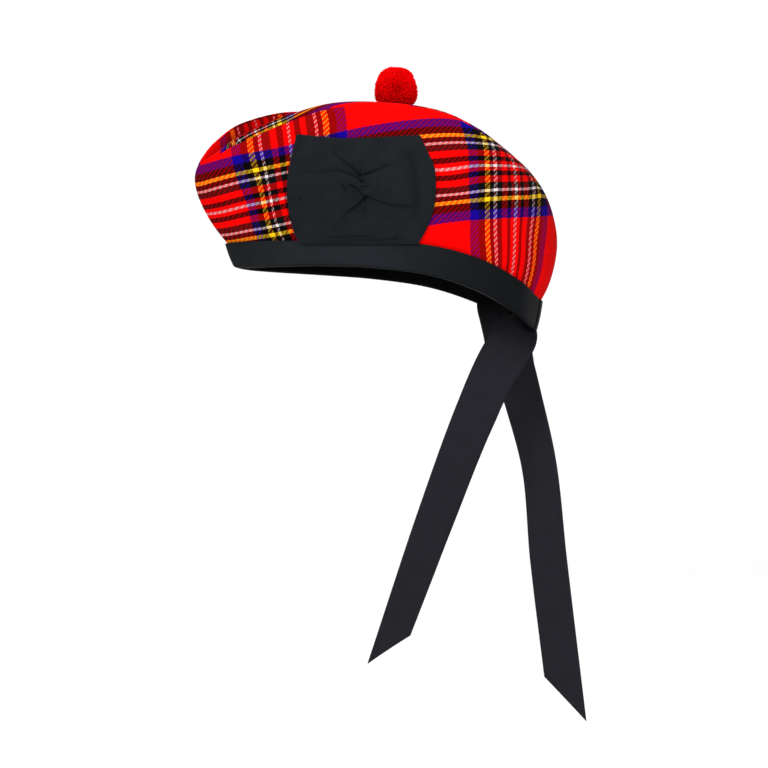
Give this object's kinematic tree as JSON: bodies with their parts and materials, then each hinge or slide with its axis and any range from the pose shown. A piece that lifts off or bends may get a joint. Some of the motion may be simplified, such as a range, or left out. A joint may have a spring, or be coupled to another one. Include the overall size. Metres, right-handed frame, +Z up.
{
  "type": "glengarry",
  "caption": "Boat-shaped tartan cloth cap with a folded top, ribbon binding, twisted ribbon cockade, pompom and two ribbon tails, held up as worn.",
  "frame": {"origin": "middle of the head opening, where the head sits", "axes": "+Z up through the crown, the wearer looks along -X, the wearer's left side with the cockade is on -Y"},
  "size_m": [0.2883, 0.1593, 0.4804],
  "materials": {
    "tartan": "matt woollen twill in a red tartan",
    "binding": "black grosgrain ribbon, soft sheen",
    "tail": "black grosgrain ribbon, soft sheen",
    "cockade": "black ribbon cloth, matt",
    "pompom": "clipped wool yarn"
  },
  "bodies": {
    "root": {"left_side_panel": "tartan", "right_side_panel": "tartan", "top_panel": "tartan", "rim_band": "binding", "band_join": "binding", "tail_ribbon_front": "tail", "tail_ribbon_back": "tail", "cockade": "cockade", "pompom": "pompom"}
  },
  "joints": []
}
